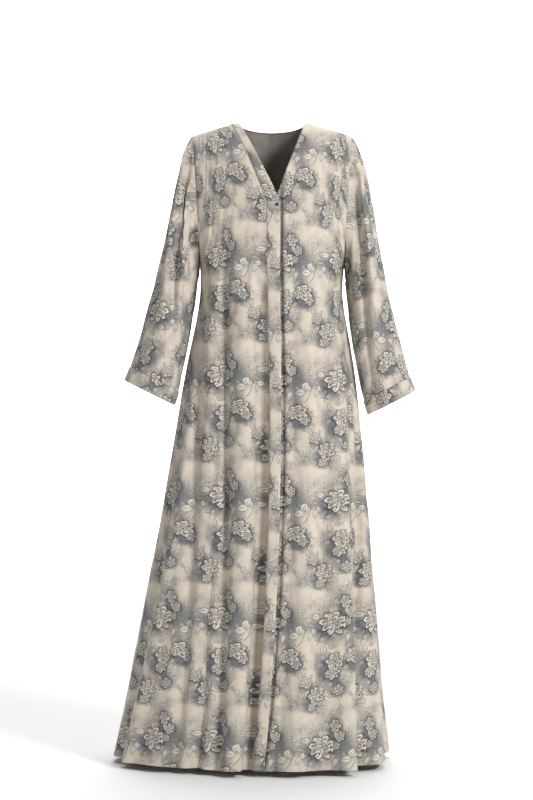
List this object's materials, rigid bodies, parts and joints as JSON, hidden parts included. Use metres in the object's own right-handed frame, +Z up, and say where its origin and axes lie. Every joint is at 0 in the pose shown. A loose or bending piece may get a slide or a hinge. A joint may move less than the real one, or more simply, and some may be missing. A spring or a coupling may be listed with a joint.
{
  "type": "abaya cloak",
  "caption": "Open-fronted, ankle-length cloak in light printed cloth, with long flared sleeves, a narrow front placket and a V neck, worn closed by a snap.",
  "frame": {"origin": "neck base, midway between the two high shoulder points where the cloak rests on its wearer", "axes": "+Z up, +X to the wearer's left, -Y out of the front"},
  "size_m": [0.6677, 0.4653, 1.4057],
  "materials": {
    "body_cloth": "matt woven crepe, cream ground with a blue-grey cloud and peony print",
    "band_cloth": "matt woven crepe in the same print, folded double and edge-stitched",
    "snap_metal": "dark plated metal, slightly worn"
  },
  "bodies": {
    "root": {"back": "body_cloth", "front_right": "body_cloth", "front_left": "body_cloth", "placket": "band_cloth", "neckband": "band_cloth", "sleeve_right": "body_cloth", "sleeve_left": "body_cloth", "cuff_right": "band_cloth", "cuff_left": "band_cloth", "snap": "snap_metal"}
  },
  "joints": []
}
